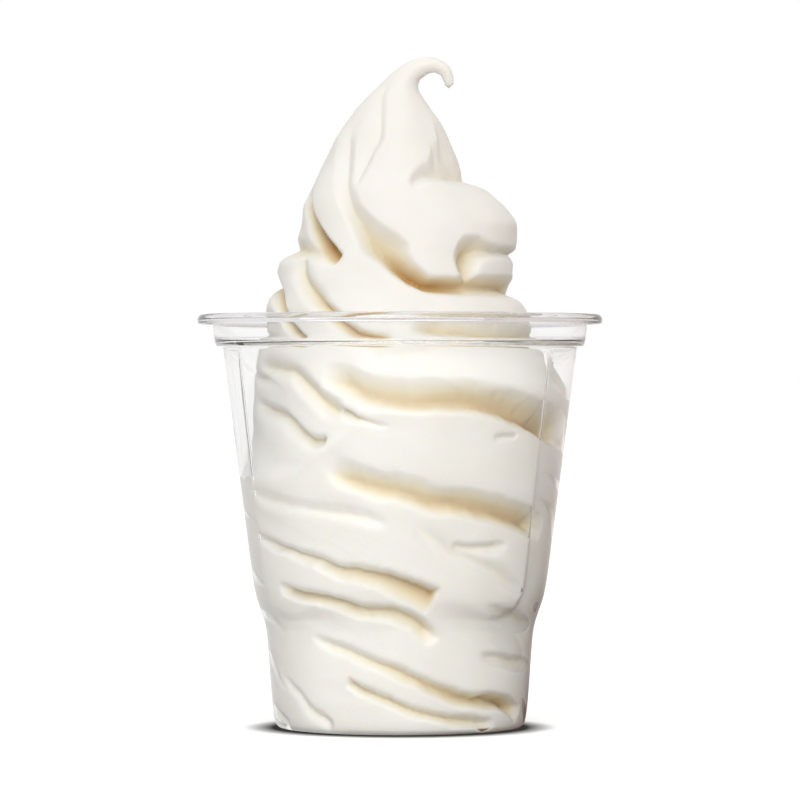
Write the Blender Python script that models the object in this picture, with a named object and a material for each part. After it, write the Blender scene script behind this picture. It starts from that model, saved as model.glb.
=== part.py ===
"""Vanilla soft serve swirled into a clear plastic cup, at rest on z = 0, with its front towards -Y.

The cup is a thin shell turned about Z, with a raised panel at the front and at the back. The soft serve is one
solid: rings stacked along a spine that rises through the cup and bends over at the tip, with folds pressed into
them. Sizes are in millimetres until a mesh is made.
"""

import math
from collections import namedtuple

import bpy
import numpy as np

METRES = 0.001

# The cup: height and radius of points on its outer face, from the standing ring up to the brim.
WALL = 0.6
PUSH_UP = 0.8
OUTER = (
    (PUSH_UP, 24.0),
    (0.0, 26.2),
    (0.0, 29.0),
    (0.5, 29.9),
    (1.7, 30.45),
    (6.5, 31.1),
    (21.0, 32.2),
    (24.6, 32.7),
    (27.6, 33.6),
    (31.4, 34.9),
    (34.2, 35.5),
    (37.0, 35.95),
    (55.0, 38.3),
    (73.5, 40.7),
    (91.6, 43.0),
    (92.2, 43.4),
    (92.5, 44.6),
    (93.4, 45.0),
    (96.5, 45.4),
    (98.3, 45.6),
    (98.9, 46.2),
    (98.9, 47.9),
    (98.2, 48.4),
    (97.9, 49.0),
    (98.9, 49.25),
    (99.8, 48.9),
    (100.2, 48.2),
    (100.2, 46.0),
)
INNER = (
    (99.8, 45.2),
    (98.9, 45.0),
    (96.5, 44.8),
    (93.6, 44.35),
    (93.1, 43.1),
    (91.8, 42.4),
    (73.5, 40.1),
    (55.0, 37.7),
    (37.0, 35.35),
    (34.2, 34.9),
    (31.6, 34.3),
    (27.9, 33.0),
    (24.8, 32.1),
    (21.0, 31.6),
    (6.5, 30.5),
    (2.0, 29.9),
    (1.0, 29.3),
    (0.6, 28.5),
    (0.6, 26.0),
    (PUSH_UP + WALL, 23.7),
)
CUP_SIDES = 54

# The panels stand out a little from the rest of the wall, over the shoulder and below the band.
PANEL_RISE = 0.8
PANEL_EDGE = math.radians(66)
PANEL_STEP = 4.0
PANEL_FLOOR = 27.0
PANEL_TOP = 92.0
PANEL_CORNER = 9.0

# The soft serve. Rows of the envelope: height, reach to the left, right, front and back of the cup's axis.
CLEARANCE = 0.3
FOOD_FLOOR = 0.9
ENVELOPE = (
    (0.0, 40.0, 40.0, 40.0, 40.0),
    (58.0, 40.0, 42.0, 43.0, 42.0),
    (70.0, 38.2, 41.0, 43.0, 42.0),
    (80.0, 35.6, 38.6, 41.4, 40.5),
    (90.0, 34.4, 37.2, 38.6, 37.0),
    (95.0, 32.6, 33.6, 35.6, 34.6),
    (101.0, 32.8, 31.4, 33.2, 32.6),
    (105.0, 31.6, 28.6, 30.6, 30.4),
    (109.0, 30.4, 28.6, 29.0, 28.8),
    (113.5, 29.0, 28.2, 27.6, 27.4),
    (117.5, 25.6, 28.2, 26.4, 26.2),
    (121.5, 24.5, 28.2, 25.2, 25.2),
    (126.0, 23.8, 25.8, 23.6, 23.8),
    (131.0, 21.6, 20.8, 21.4, 21.2),
    (135.5, 19.3, 18.0, 18.8, 18.2),
    (142.6, 15.9, 12.9, 14.8, 14.8),
)
# Stations of the bent tip: length along the spine, x and z of its centre, half width, and how far it has turned.
TIP = (
    (142.6, -1.5, 142.6, 14.4, 0.0),
    (149.4, -1.5, 149.4, 9.5, 0.0),
    (152.8, -1.2, 152.8, 7.0, 0.0),
    (155.3, -0.4, 155.2, 5.0, 4.0),
    (158.0, 1.0, 157.5, 3.8, 9.0),
    (160.8, 3.1, 159.3, 3.1, 24.0),
    (163.3, 5.3, 160.5, 2.5, 44.0),
    (165.7, 7.7, 160.9, 2.0, 76.0),
    (168.1, 10.0, 160.1, 1.7, 110.0),
    (169.8, 11.2, 158.9, 1.5, 137.0),
    (171.2, 11.7, 157.6, 1.35, 153.0),
    (172.8, 12.0, 156.1, 1.1, 167.0),
)
TIP_END = (11.9, 155.2)
FOOD_SIDES = 72
# Its points are weighted means of a finer grid, which has this many columns and rows to each of the solid's own.
FINE_SIDES, FINE_ROWS = 4, 3
SIDES_MEANED, ROWS_MEANED = 6, 4
# A fold's sides are no narrower than this with its share of the depth, and its lip leans by part of its number.
NARROWEST_SIDE = 1.4
STEEPEST_SIDE = 1.25
LEAN_SHARE = 0.4

# The folds, where the strands of the swirl meet. A fold follows points on the surface, as degrees round to the
# right of the front and height, and its left and right are those of its own direction: the left of a fold that
# runs to the right is above it. Depth is given at even steps from its first point to its last. So are the widths
# of a side, which end with its roundness: 1 makes a broad facet, and 2 a round swell. The ends fade over two
# lengths. A lip hangs over the fold from its left side, or from its right where lean is below 0.
Fold = namedtuple("Fold", "points depth left right fades lean", defaults=(0.0,))
CROWN_FOLDS = (
    # under the main lobe, from the top of the back round to the right
    Fold(
        ((-66, 149), (-50, 142), (-41, 135), (-34, 128.5), (-29, 123), (-20, 117), (-7, 113), (1, 110),
         (9, 107.5), (18, 106), (31, 106), (44, 106.5), (62, 106.5), (90, 106), (118, 102)),
        (1.0, 1.4, 1.8, 2.2, 3.2, 5.0, 6.0, 6.6, 6.6, 6.4, 6.0, 5.4, 5.0, 5.0, 3.0),
        (3.0, 3.0, 3.2, 3.4, 4.4, 6.0, 6.4, 5.4, 4.4, 3.6, 3.4, 3.4, 3.4, 3.4, 3.0, 1.05),
        (5.0, 4.5, 3.5, 2.5, 1.8, 1.2, 1.1, 1.1, 1.2, 1.4, 2.0, 2.6, 2.8, 2.8, 3.0, 1.2),
        (14, 16), 0.3,
    ),
    # up the main lobe's left edge to the tip
    Fold(
        ((-40, 156), (-20, 149.5), (-13, 143.5), (-21, 138.5), (-26, 134), (-28, 130)),
        (1.6, 1.6),
        (1.6, 1.8, 1.5),
        (5, 5, 2.0),
        (4, 5), 0.0,
    ),
    # between the tip and the shelf to its right
    Fold(
        ((9, 130.8), (16, 132), (26, 133), (36, 133), (45, 132.6), (56, 132.4), (70, 132.3),
         (90, 132.2), (140, 130)),
        (1.8, 2.6, 3.4, 4.0, 4.4, 4.6, 4.4, 3.8, 1.5),
        (1.6, 2.6, 4.2, 8.0, 12.0, 15.0, 16.0, 15.0, 8.0, 1.1),
        (2.2, 2.5, 2.0),
        (2.5, 12), 0.0,
    ),
    # the deep gap at the left
    Fold(
        ((-92, 131), (-76, 128.5), (-64, 125.5), (-56, 122), (-48, 119), (-39, 116), (-28, 113.3)),
        (1.4, 5.0, 8.0, 8.0, 8.0, 7.0, 5.0),
        (2.0, 1.3, 1.1),
        (2.0, 2.2, 2.6, 2.6, 2.6, 2.2, 2.0, 0.65),
        (8, 1.5), 0.5,
    ),
    # over the lower coil at the left
    Fold(
        ((-130, 119), (-90, 115.5), (-71, 115.5), (-56, 115), (-45, 114.5), (-35, 113.5), (-25, 112)),
        (3.0, 3.2, 2.2, 0.8),
        (4, 3, 1.7),
        (3, 3, 2.0),
        (12, 4),
    ),
    # two creases that go down into the cup at the left
    Fold(
        ((-50, 114.5), (-50, 111), (-46, 108), (-38, 104.5), (-31, 101), (-24, 97.5), (-16, 94.5),
         (-3, 93.5)),
        (1.8, 3.6),
        (5, 3, 1.9),
        (4, 3, 2.0),
        (4, 6), 0.4,
    ),
    Fold(
        ((-140, 111), (-100, 108.5), (-74, 106.5), (-63, 103.5), (-57, 100), (-51, 96.5), (-43, 93)),
        (4.5, 3.6),
        (4, 2, 1.6),
        (4, 2.4, 1.8),
        (12, 2.5), 0.4,
    ),
    # the pocket at the right, under the shelf's lip and down beside the main lobe
    Fold(
        ((130, 113.5), (90, 114.6), (70, 115), (52, 114.6), (43, 113), (39, 111), (40, 108), (43, 106)),
        (1.5, 2.0, 2.6, 4.2, 5.8, 5.2, 3.6, 1.6),
        (3.0, 3.0, 3.0, 3.0, 3.5, 3.5, 3.0, 2.0, 1.8),
        (2.2, 2.0, 2.4, 4.0, 7.0, 4.6, 2.0, 1.4, 1.1),
        (10, 2), -0.3,
    ),
)
CUP_FOLDS = (
    # behind the band
    Fold(
        ((-16, 91), (-2, 91), (13, 91.5)),
        (1.1, 1.1),
        (2.5, 2.5, 2.0),
        (3, 3, 2.0),
        (5, 5),
    ),
    Fold(
        ((4, 96), (20, 95), (38, 94), (69, 92.5), (110, 90)),
        (2.4, 4.4),
        (4.5, 6, 1.2),
        (1.6, 1.6, 1.8),
        (8, 14),
    ),
    # the widest one
    Fold(
        ((-34, 84.5), (-25, 83), (-19, 81), (-12, 79.5), (2, 78.5), (17, 78.5), (32, 77), (45, 74.5),
         (58, 72), (80, 69)),
        (3.4, 5.0),
        (6, 8.5, 1.25),
        (1.6, 1.8, 1.8),
        (9, 12), 0.0,
    ),
    # to its left: a valley, a notch under a strand, and the foot of a lobe
    Fold(
        ((-76, 88), (-61, 87), (-50, 86.5), (-43, 83.5), (-37, 80.5), (-31, 78), (-25, 76.5)),
        (1.4, 2.6),
        (4, 3.5, 2.0),
        (3, 4, 2.0),
        (8, 4),
    ),
    Fold(
        ((-27, 77.8), (-21, 76), (-16, 75), (-8, 73)),
        (4.0, 1.0),
        (1.4, 1.2, 1.4),
        (3, 1.6, 1.8),
        (1.5, 5), 0.6,
    ),
    Fold(
        ((-80, 79), (-61, 77), (-56, 76.5), (-50, 74.5), (-43, 71.5), (-37, 70), (-32, 70.5)),
        (2.2, 3.4),
        (2.4, 1.6, 1.5),
        (4, 3, 1.8),
        (10, 1.5), 0.4,
    ),
    Fold(
        ((31, 70.5), (37, 71), (43, 71.5)),
        (1.6, 1.2),
        (1.6, 1.2, 2.0),
        (1.2, 1.0, 1.6),
        (2, 3),
    ),
    # the middle
    Fold(
        ((-30, 63), (-20, 60.5), (-12, 59), (1, 57.5), (9, 55.5), (21, 54.5), (34, 53), (50, 50.5),
         (66, 48)),
        (2.6, 3.2),
        (4, 5, 1.3),
        (2.4, 3.5, 1.8),
        (8, 10), 0.0,
    ),
    Fold(
        ((18, 45.5), (29, 45), (44, 45)),
        (2.2, 1.4),
        (1.2, 1.2, 1.6),
        (3.5, 3.5, 1.8),
        (4, 6),
    ),
    Fold(
        ((3, 51), (11, 47), (17, 44), (27, 42), (40, 38.5), (56, 33)),
        (1.0, 1.3),
        (3, 3, 1.6),
        (5, 5, 2.0),
        (7, 10),
    ),
    Fold(
        ((-70, 58), (-48, 55), (-30, 53.5), (-14, 52), (-4, 49.5)),
        (0.9, 1.1),
        (3, 3, 1.8),
        (4, 4, 1.8),
        (9, 9),
    ),
    # round the shoulder
    Fold(
        ((-70, 48), (-51, 45), (-34, 42.5), (-25, 40.5), (-12, 39.5), (0, 37.5), (14, 34.2)),
        (1.6, 5.2),
        (1.3, 1.3, 1.4),
        (1.6, 5.4, 0.7),
        (12, 0.8), 0.8,
    ),
    Fold(
        ((-54, 35.2), (-36, 33.5), (-26, 32.5), (-17, 31), (-6, 30.5), (5, 28.5), (17, 23)),
        (3.6, 2.6),
        (1.2, 1.3, 1.4),
        (2.4, 4.2, 0.8),
        (4, 6), 0.6,
    ),
    Fold(
        ((34, 31), (52, 28.5), (75, 25)),
        (1.0, 1.6),
        (2.0, 2.0, 1.6),
        (5, 5, 1.8),
        (8, 8),
    ),
    # down to the floor
    Fold(
        ((-42, 23.5), (-23, 20), (-15, 18.5), (-6, 16.5), (6, 14), (19, 11), (33, 9), (53, 8), (68, 5)),
        (1.4, 4.4),
        (1.4, 1.4, 1.5),
        (2, 3.2, 0.9),
        (8, 2), 0.4,
    ),
    Fold(
        ((35, 19), (53, 17.8), (76, 16.2)),
        (1.0, 2.2),
        (1.5, 1.5, 1.6),
        (4, 5, 1.6),
        (6, 8),
    ),
    Fold(
        ((-24, 12.8), (-17, 11), (-6, 9), (6, 6), (20, 4.5), (34, 3.5), (48, 2)),
        (3.6, 2.8),
        (1.2, 1.2, 1.5),
        (1.8, 2.4, 0.9),
        (0.6, 6), 0.3,
    ),
    Fold(
        ((-66, 14), (-52, 9.5), (-45, 6), (-38, 4), (-32, 2)),
        (1.2, 3.0),
        (1.6, 1.4, 1.6),
        (3, 3, 1.8),
        (6, 1),
    ),
    Fold(
        ((-84, 6), (-72, 3.5), (-62, 1)),
        (1.2, 3.0),
        (1.8, 1.6, 1.6),
        (3, 3, 1.8),
        (4, 1),
    ),
)
BACK_FOLDS = (
    # from the left of the back's tip down to the creases at the left of the front
    Fold(
        ((118, 142), (138, 135), (157, 127), (176, 119.5), (196, 113.5), (216, 109.5), (238, 108),
         (264, 108.5)),
        (1.0, 5.5),
        (6, 7, 1.3),
        (5, 5, 2.0),
        (10, 10), 0.4,
    ),
    # between the tip and a shelf to its left, which the deep gap at the left takes up
    Fold(
        ((172, 137), (192, 138), (214, 136), (240, 132.5), (266, 131)),
        (2.0, 2.4),
        (3, 9, 1.2),
        (3, 4, 2.0),
        (5, 8),
    ),
    # a pocket under that shelf
    Fold(
        ((236, 117), (214, 120), (198, 122.5), (192, 120), (194, 117)),
        (1.4, 3.2),
        (4, 6, 1.0),
        (1.6, 2, 1.4),
        (6, 3),
    ),
)

# In the cup the sides and the back have creases between strands that wind down to the right and come and go.
STRANDS = 7
STRAND_RISE = 12.3
STRAND_DEPTH = 2.3
STRANDS_FROM = math.radians(50)
STRANDS_TOP = 102.0


def ease(x):
    x = np.clip(x, 0.0, 1.0)
    return x * x * (3.0 - 2.0 * x)


def curve_through(knots, values, at):
    """A smooth curve through values at knots that makes no bumps of its own."""
    knots, values = np.asarray(knots, float), np.asarray(values, float)
    steps = np.diff(knots)
    slopes = np.diff(values) / steps
    tangents = np.zeros(len(knots))
    tangents[0], tangents[-1] = slopes[0], slopes[-1]
    rising = slopes[:-1] * slopes[1:] > 0
    both = 2.0 * slopes[:-1] * slopes[1:]
    total = np.where(rising, slopes[:-1] + slopes[1:], 1.0)
    tangents[1:-1] = np.where(rising, both / total, 0.0)
    i = np.clip(np.searchsorted(knots, at) - 1, 0, len(steps) - 1)
    s = np.clip((at - knots[i]) / steps[i], 0.0, 1.0)
    start = values[i] * (1 + 2 * s) * (1 - s) ** 2 + values[i + 1] * s * s * (3 - 2 * s)
    turn = tangents[i] * s * (1 - s) ** 2 - tangents[i + 1] * s * s * (1 - s)
    return start + steps[i] * turn


def lattice_value(ix, iy, iz, seed):
    """A fixed number from -1 to 1 for each whole-numbered place."""
    mixed = np.sin(ix * 127.1 + iy * 311.7 + iz * 74.7 + seed * 19.19) * 43758.5453
    return 2.0 * (mixed - np.floor(mixed)) - 1.0


def noise(x, y, z, seed):
    """Smooth noise from -1 to 1 over space, one unit to a bump."""
    ix, iy, iz = np.floor(x), np.floor(y), np.floor(z)
    fx, fy, fz = ease(x - ix), ease(y - iy), ease(z - iz)
    total = np.zeros(np.shape(x))
    for cx in (0, 1):
        for cy in (0, 1):
            for cz in (0, 1):
                share = (fx if cx else 1 - fx) * (fy if cy else 1 - fy) * (fz if cz else 1 - fz)
                total += share * lattice_value(ix + cx, iy + cy, iz + cz, seed)
    return total


def panel_rise(angle, height):
    """How far the wall stands out at an angle from the front, which is the same from the back."""
    away = np.abs(np.mod(angle + math.pi / 2, math.pi) - math.pi / 2)
    across = away * 38.0 - PANEL_EDGE * 38.0 + PANEL_CORNER
    below = PANEL_FLOOR - height + PANEL_CORNER
    outside = np.hypot(np.maximum(across, 0.0), np.maximum(below, 0.0)) - PANEL_CORNER
    under_band = ease((PANEL_TOP - height) / 2.0)
    return PANEL_RISE * ease(-outside / PANEL_STEP) * under_band


def wall_inside(angle, height):
    heights, radii = zip(*sorted(INNER[3:16]))
    return np.interp(height, heights, radii) + panel_rise(angle, height)


def envelope_at(height):
    """Reach of the envelope to the left, right, front and back at each height."""
    table = np.array(ENVELOPE)
    return [curve_through(table[:, 0], table[:, column], height) for column in (1, 2, 3, 4)]


def along_fold(values, share):
    """A value given at even steps along a fold, at shares of its length."""
    return np.interp(share, np.linspace(0.0, 1.0, len(values)), values)


def fold_path(points):
    """A fold's line as closely spaced angles and heights."""
    angle, height = np.array(points, float).T
    at = np.linspace(0, len(angle) - 1, 10 * len(angle))
    knots = np.arange(len(angle))
    return np.radians(curve_through(knots, angle, at)), curve_through(knots, height, at)


def narrowest_side(depth):
    """The least width of a fold's side that the spacing of the rings can follow without teeth."""
    return NARROWEST_SIDE + depth / STEEPEST_SIDE


def press_fold(fold, angle, height, radius):
    """Depth of one fold at each point, and how far the surface shifts sideways and up over it."""
    path_angle, path_height = fold_path(fold.points)
    depths = np.zeros(angle.shape)
    across, up = np.zeros(angle.shape), np.zeros(angle.shape)
    reach = 1.5 * max(fold.left[:-1] + fold.right[:-1] + (narrowest_side(max(fold.depth)),))
    middle = (path_angle.min() + path_angle.max()) / 2
    angle = np.mod(angle - middle + math.pi, 2 * math.pi) - math.pi + middle
    near = (height > path_height.min() - reach) & (height < path_height.max() + reach)
    near &= (angle > path_angle.min() - reach / radius) & (angle < path_angle.max() + reach / radius)
    if not near.any():
        return depths, across, up
    a, h, r = angle[near], height[near], radius[near]
    best = np.full(a.shape, 1e9)
    signed, along, place = np.zeros(a.shape), np.zeros(a.shape), np.zeros(a.shape)
    nx, ny = np.zeros(a.shape), np.zeros(a.shape)
    run = 0.0
    for i in range(len(path_angle) - 1):
        ex, ey = (path_angle[i + 1] - path_angle[i]) * r, path_height[i + 1] - path_height[i]
        px, py = (a - path_angle[i]) * r, h - path_height[i]
        length = np.maximum(np.hypot(ex, ey), 1e-6)
        s = np.clip((px * ex + py * ey) / length**2, 0.0, 1.0)
        distance = np.hypot(px - s * ex, py - s * ey)
        closer = distance < best
        best = np.where(closer, distance, best)
        signed = np.where(closer, (ex * py - ey * px) / length, signed)
        along = np.where(closer, run + s * length, along)
        place = np.where(closer, i + s, place)
        nx, ny = np.where(closer, -ey / length, nx), np.where(closer, ex / length, ny)
        run = run + length
    beyond = np.sqrt(np.maximum(best**2 - signed**2, 0.0))
    share = place / (len(path_angle) - 1)
    depth = along_fold(fold.depth, share)
    left = np.maximum(along_fold(fold.left[:-1], share), narrowest_side(depth))
    right = np.maximum(along_fold(fold.right[:-1], share), narrowest_side(depth))
    on_left = (1.0 - ease(signed / left)) ** (0.5 + 0.5 * fold.left[-1])
    on_right = (1.0 - ease(-signed / right)) ** (0.5 + 0.5 * fold.right[-1])
    ends = ease(along / fold.fades[0] + 0.15) * ease((run - along) / fold.fades[1] + 0.15)
    ends = ends * (1.0 - ease(beyond / (0.5 * np.maximum(left, right))))
    depths[near] = depth * ends * np.where(signed > 0, on_left, on_right)
    lip_width = left if fold.lean > 0 else right
    lip = np.exp(-(((signed * np.sign(fold.lean) - 0.8 * lip_width) / (1.2 * lip_width)) ** 2)) * ends
    across[near] = -fold.lean * lip * nx
    up[near] = -fold.lean * lip * ny
    return depths, across, up


def strand_creases(angle, height, x, y):
    """Depth of the creases that wind round the sides and the back."""
    wind = angle + height / STRAND_RISE
    warp = 1.2 * noise(x / 17.0, y / 17.0, height / 13.0, 6)
    crease = (1.0 - np.abs(np.sin(STRANDS / 2 * wind + warp))) ** 2.4
    comes = ease(0.55 + 1.2 * noise(2.2 * np.cos(wind), 2.2 * np.sin(wind), height / 26.0, 7))
    at_side = ease((np.abs(angle) - STRANDS_FROM) / math.radians(34))
    return STRAND_DEPTH * crease * comes * at_side * ease((STRANDS_TOP - height) / 8.0)


def swell(angle, height):
    """Slow unevenness of the surface, which winds round with the swirl."""
    wind = angle + height / 26.0
    slow = 0.5 * np.sin(2 * wind + 0.9) + 0.4 * np.sin(3 * angle - height / 11.0 + 2.1)
    return slow + 0.3 * np.sin(5 * wind - height / 7.0)


def ring_frames(length):
    """Centre, half sizes and turn of each ring along the spine."""
    table = np.array(TIP)
    low = length <= TIP[0][0]
    left, right, front, back = envelope_at(np.minimum(length, TIP[0][0]))
    tip = [curve_through(table[:, 0], table[:, column], length) for column in (1, 2, 3, 4)]
    centre_x = np.where(low, (right - left) / 2, tip[0])
    centre_z = np.where(low, length, tip[1])
    half_x = np.where(low, (left + right) / 2, tip[2])
    half_y = np.where(low, (front + back) / 2, tip[2] * (front + back) / (left + right))
    centre_y = np.where(low, (back - front) / 2, 0.0)
    turned = np.where(low, 0.0, np.radians(tip[3]))
    return centre_x, centre_y, centre_z, half_x, half_y, turned


def row_lengths():
    """Lengths along the spine at which the rings of the soft serve lie, closer together in the tip."""
    foot = (0.9, 1.3, 2.4)
    body = np.linspace(4.8, 142.6, 43)
    tip = 172.8 - (172.8 - 142.6) * np.linspace(1.0, 0.0, 14)[1:] ** 1.35
    return np.concatenate([foot, body, tip])


def pressed_in(angle, height, radius, x, y):
    """Depth in the folds at each point of the surface, and the shifts of their lips."""
    total = strand_creases(angle, height, x, y) ** 3
    across, up = np.zeros(angle.shape), np.zeros(angle.shape)
    for fold in CROWN_FOLDS + CUP_FOLDS + BACK_FOLDS:
        depth, sideways, upwards = press_fold(fold, angle, height, radius)
        total += depth**3
        across += LEAN_SHARE * sideways
        up += LEAN_SHARE * upwards
    return np.cbrt(total), across, up


def food_points(length, sides):
    """Points of the soft serve's surface, one row of the array to each ring."""
    angle = np.linspace(-math.pi, math.pi, sides, endpoint=False)
    angle, height = np.meshgrid(angle, length)
    cx, cy, cz, hx, hy, turned = (np.repeat(v[:, None], sides, axis=1) for v in ring_frames(length))
    radius = np.minimum((hx + hy) / 2, wall_inside(angle, height))
    ux, uy = radius * np.sin(angle), -radius * np.cos(angle)
    depth, across, up = pressed_in(angle, height, radius, ux, uy)
    slim = np.clip(radius / 16.0, 0.12, 1.0)
    inset = np.interp(height, (0.9, 1.3, 2.4, 4.4), (2.2, 0.9, 0.3, 0.0))
    wind = angle + height / STRAND_RISE
    layered = 0.4 * noise(2.4 * np.cos(wind), 2.4 * np.sin(wind), height / 24.0, 3)
    move = (swell(angle, height) + layered) * np.minimum(slim, 0.8) - depth * slim - inset
    outwards = np.stack([hx * np.sin(angle), -hy * np.cos(angle)])
    outwards = outwards / np.hypot(*outwards)
    x = hx * np.sin(angle) + outwards[0] * move + np.cos(angle) * across
    y = cy - hy * np.cos(angle) + outwards[1] * move + np.sin(angle) * across
    in_cup = height < 93.0
    wall = wall_inside(np.arctan2(x + cx, -y), height) - CLEARANCE - inset - depth
    reach = np.hypot(x + cx, y)
    spare = wall - reach
    blended = reach + spare / 2 - np.sqrt(spare**2 / 4 + 0.12) + 0.1
    scale = np.where(in_cup, np.minimum(blended, wall) / reach, 1.0)
    px = np.where(in_cup, (x + cx) * scale, cx + x * np.cos(turned) + up * np.sin(turned))
    py = y * scale
    pz = cz - x * np.sin(turned) * (~in_cup) + up * np.cos(turned)
    return np.stack([px, py, np.maximum(pz, FOOD_FLOOR)], axis=-1)


def evened_points():
    """The soft serve's points at the solid's own spacing, each the mean of finer ones round it."""
    lengths = row_lengths()
    finer = np.linspace(0, len(lengths) - 1, FINE_ROWS * (len(lengths) - 1) + 1)
    fine = food_points(np.interp(finer, np.arange(len(lengths)), lengths), FOOD_SIDES * FINE_SIDES)
    rounded = np.zeros(fine.shape)
    for step in range(1 - SIDES_MEANED, SIDES_MEANED):
        rounded += np.roll(fine, step, axis=1) * (SIDES_MEANED - abs(step)) / SIDES_MEANED**2
    padded = np.pad(rounded, ((ROWS_MEANED - 1, ROWS_MEANED - 1), (0, 0), (0, 0)), mode="edge")
    evened = np.zeros(fine.shape)
    for step in range(1 - ROWS_MEANED, ROWS_MEANED):
        start = ROWS_MEANED - 1 + step
        evened += padded[start : start + len(fine)] * (ROWS_MEANED - abs(step)) / ROWS_MEANED**2
    return evened[::FINE_ROWS, ::FINE_SIDES]


def floor_rings(sides):
    """Rings under the soft serve, from the axis out, over the cup's raised floor."""
    raised = PUSH_UP + WALL + CLEARANCE
    angle = np.linspace(-math.pi, math.pi, sides, endpoint=False)
    rings = []
    for radius, height in ((12.0, raised), (23.0, raised), (25.6, FOOD_FLOOR)):
        ring = np.stack([radius * np.sin(angle), -radius * np.cos(angle), np.full(sides, height)], axis=-1)
        rings.append(ring)
    return rings, raised


def stacked_rings(rings, start, end):
    """Vertices and faces of a closed skin over rings of equal count, from one end point to the other."""
    sides = len(rings[0])
    points = [start] + [p for ring in rings for p in ring] + [end]
    faces = []
    for i in range(sides):
        j = (i + 1) % sides
        faces.append((0, 1 + j, 1 + i))
        for k in range(len(rings) - 1):
            low, high = 1 + k * sides, 1 + (k + 1) * sides
            faces.append((low + i, low + j, high + j, high + i))
        top = 1 + (len(rings) - 1) * sides
        faces.append((top + i, top + j, len(points) - 1))
    return points, faces


def add_object(name, points, faces):
    mesh = bpy.data.meshes.new(name)
    scaled = [tuple(float(c) * METRES for c in p) for p in points]
    mesh.from_pydata(scaled, [], faces)
    mesh.validate()
    obj = bpy.data.objects.new(name, mesh)
    bpy.context.scene.collection.objects.link(obj)
    return obj


def make_cup():
    angle = np.linspace(-math.pi, math.pi, CUP_SIDES, endpoint=False)
    rings = []
    for height, radius in OUTER + INNER:
        reach = radius + panel_rise(angle, height)
        rings.append(np.stack([reach * np.sin(angle), -reach * np.cos(angle), np.full(CUP_SIDES, height)], axis=-1))
    points, faces = stacked_rings(rings, (0, 0, PUSH_UP), (0, 0, PUSH_UP + WALL))
    return add_object("cup", points, faces)


def make_soft_serve():
    under, raised = floor_rings(FOOD_SIDES)
    rings = under + list(evened_points())
    points, faces = stacked_rings(rings, (0, 0, raised), (TIP_END[0], 0, TIP_END[1]))
    return add_object("soft_serve", points, faces)


def main():
    for obj in list(bpy.data.objects):
        bpy.data.objects.remove(obj, do_unlink=True)
    make_cup()
    make_soft_serve()


main()
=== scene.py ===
"""Dresses the soft serve cup: the soft serve with its folds and the clear cup, in procedural materials."""

import math
from collections import namedtuple

import bpy
import numpy as np
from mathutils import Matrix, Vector

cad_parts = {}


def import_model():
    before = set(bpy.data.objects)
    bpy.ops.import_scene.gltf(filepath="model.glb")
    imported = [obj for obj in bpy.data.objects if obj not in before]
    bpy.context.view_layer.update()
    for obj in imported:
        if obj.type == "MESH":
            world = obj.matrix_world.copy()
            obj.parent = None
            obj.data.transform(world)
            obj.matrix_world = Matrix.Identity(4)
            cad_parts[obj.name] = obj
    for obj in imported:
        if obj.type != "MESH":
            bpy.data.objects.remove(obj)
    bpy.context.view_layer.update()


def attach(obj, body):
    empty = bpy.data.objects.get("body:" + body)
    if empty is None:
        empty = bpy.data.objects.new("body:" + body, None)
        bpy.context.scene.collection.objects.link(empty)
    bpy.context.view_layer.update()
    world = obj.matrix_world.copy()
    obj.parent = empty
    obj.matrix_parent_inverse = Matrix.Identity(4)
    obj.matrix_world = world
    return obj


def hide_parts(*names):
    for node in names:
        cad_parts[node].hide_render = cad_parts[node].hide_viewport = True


METRES = 0.001

# The cup: height and radius of points on its outer face, from the raised middle of its base up to the brim,
# and then on its inner face, from the brim down to its floor, in millimetres.
WALL = 0.6
PUSH_UP = 0.8
OUTER = (
    (PUSH_UP, 24.0),
    (0.0, 26.2),
    (0.0, 29.0),
    (0.5, 29.9),
    (1.7, 30.45),
    (6.5, 31.1),
    (21.0, 32.2),
    (24.6, 32.7),
    (27.6, 33.6),
    (31.4, 34.9),
    (34.2, 35.5),
    (37.0, 35.95),
    (55.0, 38.3),
    (73.5, 40.7),
    (91.6, 43.0),
    (92.2, 43.4),
    (92.5, 44.6),
    (93.4, 45.0),
    (96.5, 45.4),
    (98.3, 45.6),
    (98.9, 46.2),
    (98.9, 47.9),
    (98.2, 48.4),
    (97.9, 49.0),
    (98.9, 49.25),
    (99.8, 48.9),
    (100.2, 48.2),
    (100.2, 46.0),
)
INNER = (
    (99.8, 45.2),
    (98.9, 45.0),
    (96.5, 44.8),
    (93.6, 44.35),
    (93.1, 43.1),
    (91.8, 42.4),
    (73.5, 40.1),
    (55.0, 37.7),
    (37.0, 35.35),
    (34.2, 34.9),
    (31.6, 34.3),
    (27.9, 33.0),
    (24.8, 32.1),
    (21.0, 31.6),
    (6.5, 30.5),
    (2.0, 29.9),
    (1.0, 29.3),
    (0.6, 28.5),
    (0.6, 26.0),
    (PUSH_UP + WALL, 23.7),
)
INNER_WALL = slice(3, 16)  # the rows of INNER from the band down to the rounding at the floor
PROFILE_STEPS = 3
CUP_SIDES = 240

# The front and the back panel stand out a little from the rest of the wall, over the shoulder and below the
# band. The middle of the front one lies a little to the left. The step round a panel is short at its sides
# and its corners, and grows longer over an angle between them.
PANEL_RISE = 0.9
PANEL_MIDDLE = math.radians(-4)
PANEL_EDGE = math.radians(61)
PANEL_RADIUS = 38.0
PANEL_FLOOR = 27.0
PANEL_TOP = 92.0
PANEL_TOP_STEP = 2.0
PANEL_CORNER = 9.0
PANEL_STEP = 1.8
STEP_GROWS_BY = 4.0
STEP_SHORT_FOR = 0.3
STEP_GROWS_OVER = 0.5

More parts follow.
